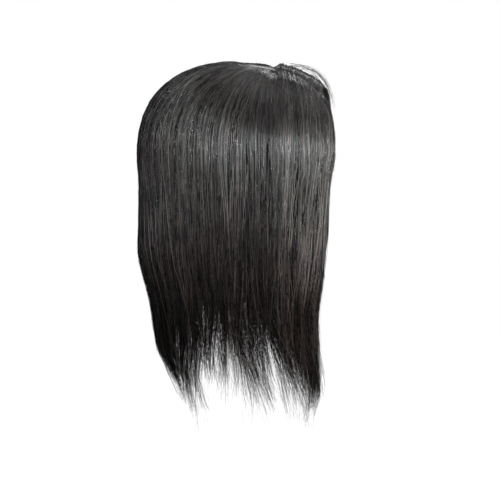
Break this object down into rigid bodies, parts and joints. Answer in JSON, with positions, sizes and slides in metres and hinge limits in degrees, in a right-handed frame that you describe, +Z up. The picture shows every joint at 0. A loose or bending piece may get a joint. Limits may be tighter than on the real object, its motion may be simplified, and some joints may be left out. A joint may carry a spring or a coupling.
{
  "type": "toupee hairpiece",
  "caption": "Long straight grey-flecked dark hairpiece on a thin open base cap, parted at the side, that seats on the crown of a head and falls past the neck.",
  "frame": {"origin": "the underside of the base cap at the crown of the head, where the hairpiece is held up", "axes": "+Z up, the face side towards -Y, the wearer's right towards -X"},
  "size_m": [0.1782, 0.2036, 0.3741],
  "materials": {
    "base": "matt, thin skin-coloured lace",
    "hair": "near-black brown strands with light grey ones between them, soft sheen"
  },
  "bodies": {
    "root": {"base_cap": "base", "right_front_hair": "hair", "right_side_hair": "hair", "right_back_hair": "hair", "left_front_hair": "hair", "left_side_hair": "hair", "left_back_hair": "hair"}
  },
  "joints": []
}
